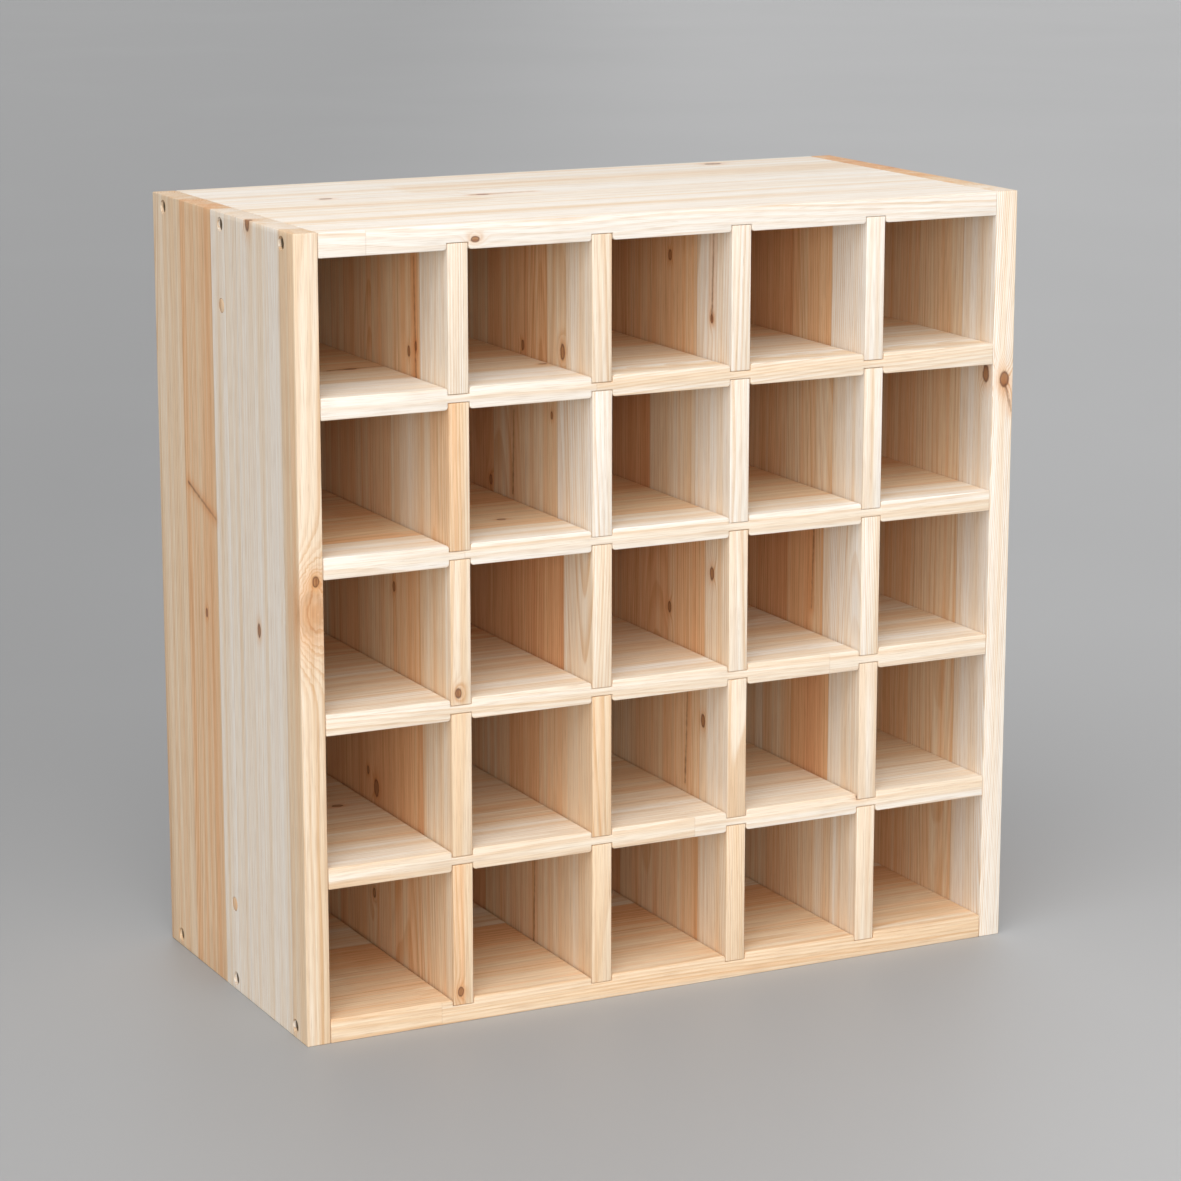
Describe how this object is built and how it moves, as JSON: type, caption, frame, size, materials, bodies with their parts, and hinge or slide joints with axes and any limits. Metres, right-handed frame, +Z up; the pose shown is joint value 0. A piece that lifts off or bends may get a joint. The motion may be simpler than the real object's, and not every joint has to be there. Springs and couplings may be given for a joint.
{
  "type": "wine rack",
  "caption": "Square pine wine rack: solid side, top and bottom boards around a grid of shelves and dividers let into grooves, open in front, closed at the back by a thin panel.",
  "frame": {"origin": "middle of the footprint, on the surface that the rack stands on", "axes": "+Z up, +X to the rack's right as seen from the front, the open front faces -Y"},
  "size_m": [0.52, 0.25, 0.52],
  "materials": {
    "pine_side": "bare edge-glued pine, planed, with tan and pale strips",
    "pine_board": "bare pine, planed",
    "pine_divider": "bare pine, planed",
    "panel_wood": "thin plywood, dull",
    "plug_wood": "pine plug, planed flush",
    "screw_steel": "yellow-passivated steel, satin",
    "pin_steel": "bright steel pin"
  },
  "bodies": {
    "root": {"side_left": "pine_side", "side_right": "pine_side", "bottom_board": "pine_board", "top_board": "pine_board", "shelf_1": "pine_board", "shelf_2": "pine_board", "shelf_3": "pine_board", "shelf_4": "pine_board", "divider_r1_c1": "pine_divider", "divider_r1_c2": "pine_divider", "divider_r1_c3": "pine_divider", "divider_r1_c4": "pine_divider", "divider_r2_c1": "pine_divider", "divider_r2_c2": "pine_divider", "divider_r2_c3": "pine_divider", "divider_r2_c4": "pine_divider", "divider_r3_c1": "pine_divider", "divider_r3_c2": "pine_divider", "divider_r3_c3": "pine_divider", "divider_r3_c4": "pine_divider", "divider_r4_c1": "pine_divider", "divider_r4_c2": "pine_divider", "divider_r4_c3": "pine_divider", "divider_r4_c4": "pine_divider", "divider_r5_c1": "pine_divider", "divider_r5_c2": "pine_divider", "divider_r5_c3": "pine_divider", "divider_r5_c4": "pine_divider", "back_panel": "panel_wood", "screw_left_bottom_1": "screw_steel", "screw_left_bottom_2": "screw_steel", "screw_left_bottom_3": "screw_steel", "screw_left_top_1": "screw_steel", "screw_left_top_2": "screw_steel", "screw_left_top_3": "screw_steel", "screw_right_bottom_1": "screw_steel", "screw_right_bottom_2": "screw_steel", "screw_right_bottom_3": "screw_steel", "screw_right_top_1": "screw_steel", "screw_right_top_2": "screw_steel", "screw_right_top_3": "screw_steel", "plug_left_lower": "plug_wood", "plug_left_upper": "plug_wood", "plug_right_lower": "plug_wood", "plug_right_upper": "plug_wood", "pin_left_lower": "pin_steel", "pin_left_upper": "pin_steel", "pin_bottom_left": "pin_steel", "pin_top_left": "pin_steel", "pin_right_lower": "pin_steel", "pin_right_upper": "pin_steel", "pin_bottom_right": "pin_steel", "pin_top_right": "pin_steel"}
  },
  "joints": []
}
